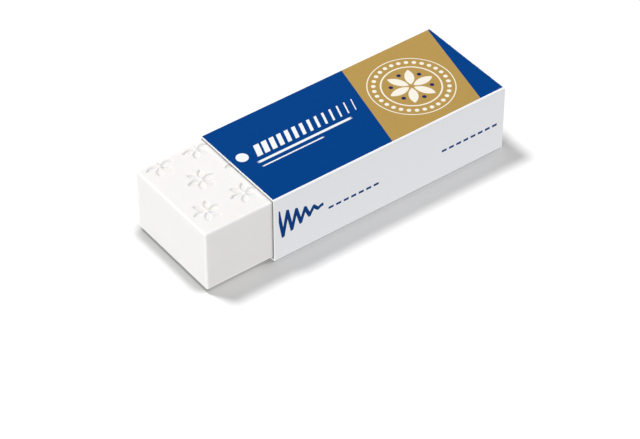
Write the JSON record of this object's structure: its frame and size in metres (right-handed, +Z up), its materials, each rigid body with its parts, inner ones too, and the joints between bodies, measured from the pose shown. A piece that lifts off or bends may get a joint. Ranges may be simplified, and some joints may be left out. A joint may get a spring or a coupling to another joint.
{
  "type": "vinyl eraser in a card sleeve",
  "caption": "White vinyl drawing eraser, a rectangular block pressed with rosettes, in a folded printed card sleeve that slides along it.",
  "frame": {"origin": "under the middle of the block, on the plane that the sleeve's bottom rests on", "axes": "+X along the eraser from its bare end to its covered end, +Z up through the printed top panel"},
  "size_m": [0.065, 0.0218, 0.0139],
  "materials": {
    "white_vinyl": "smooth matt white vinyl",
    "printed_card": "coated card printed blue and gold on white"
  },
  "bodies": {
    "sleeve": {"card_sleeve": "printed_card"},
    "block": {"eraser_block": "white_vinyl"}
  },
  "joints": [
    {"name": "block_slide", "type": "slide", "parent": "sleeve", "child": "block", "axis": [1, 0, 0], "range_m": [-0.036, 0.05]}
  ]
}
